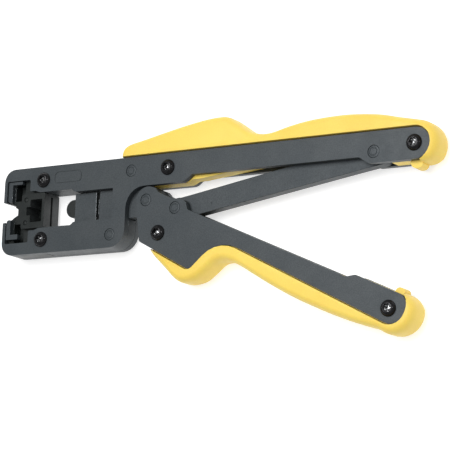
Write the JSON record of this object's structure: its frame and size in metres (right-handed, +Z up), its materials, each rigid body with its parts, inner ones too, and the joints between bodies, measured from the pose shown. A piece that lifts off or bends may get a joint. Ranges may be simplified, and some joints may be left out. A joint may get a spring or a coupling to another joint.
{
  "type": "modular plug crimping tool",
  "caption": "Hand crimping tool for modular plugs: twin-plate steel head with die and sliding ram, toggle link, ratchet and two handles with moulded yellow grips.",
  "frame": {"origin": "under the middle of the bounding box, on the surface the tool lies on", "axes": "+X along the ram's axis from the nose to the handle ends, +Y towards the fixed handle, +Z up through the plates towards the front face"},
  "size_m": [0.2484, 0.112, 0.0169],
  "materials": {
    "blackened_steel": "satin blackened steel",
    "die_steel": "satin black oxide",
    "black_screw": "glossy black oxide",
    "spring_steel": "bright spring steel",
    "yellow_grip": "moulded yellow plastic, satin"
  },
  "bodies": {
    "frame": {"frame_plate_front": "blackened_steel", "frame_plate_back": "blackened_steel", "upper_jaw_insert": "blackened_steel", "lower_jaw_insert": "blackened_steel", "die_half_front": "die_steel", "die_half_back": "die_steel", "upper_die_dowel": "black_screw", "lower_die_dowel": "black_screw", "upper_spacer": "blackened_steel", "lower_spacer": "blackened_steel", "upper_grip": "yellow_grip", "upper_rivet": "blackened_steel", "lower_rivet": "blackened_steel", "link_anchor_pin": "blackened_steel", "upper_die_screw": "black_screw", "lower_die_screw": "black_screw", "upper_grip_screw_front": "black_screw", "upper_grip_screw_rear": "black_screw"},
    "ram": {"ram": "blackened_steel", "ram_pusher": "blackened_steel"},
    "link": {"toggle_link": "blackened_steel"},
    "moving_handle": {"handle_plate_front": "blackened_steel", "handle_plate_back": "blackened_steel", "lower_grip": "yellow_grip", "ram_pin": "blackened_steel", "link_pin": "blackened_steel", "lower_grip_screw_front": "black_screw", "lower_grip_screw_rear": "black_screw", "pawl_pin": "black_screw", "pawl_spring": "spring_steel"},
    "pawl": {"ratchet_pawl": "die_steel"}
  },
  "joints": [
    {"name": "ram_slide", "type": "slide", "parent": "frame", "child": "ram", "axis": [1, 0, 0], "range_m": [-0.0019, 0]},
    {"name": "handle_swing", "type": "hinge", "parent": "ram", "child": "moving_handle", "pos_m": [-0.0355, 0.01732, 0.008], "axis": [0, 0, 1], "range_deg": [0, 20.5]},
    {"name": "link_swing", "type": "hinge", "parent": "frame", "child": "link", "pos_m": [0.09146, 0.03022, 0.008], "axis": [0, 0, 1], "range_deg": [-3.4, 0]},
    {"name": "pawl_swing", "type": "hinge", "parent": "moving_handle", "child": "pawl", "pos_m": [-0.02539, 0.0072, 0.008], "axis": [0, 0, 1], "range_deg": [0, 7], "stiffness_Nm_per_rad": 0.01}
  ],
  "couplings": [
    {"joint": "ram_slide", "follows": "handle_swing", "m_per_rad": -0.0050632},
    {"joint": "link_swing", "follows": "handle_swing", "ratio": -0.16188}
  ]
}
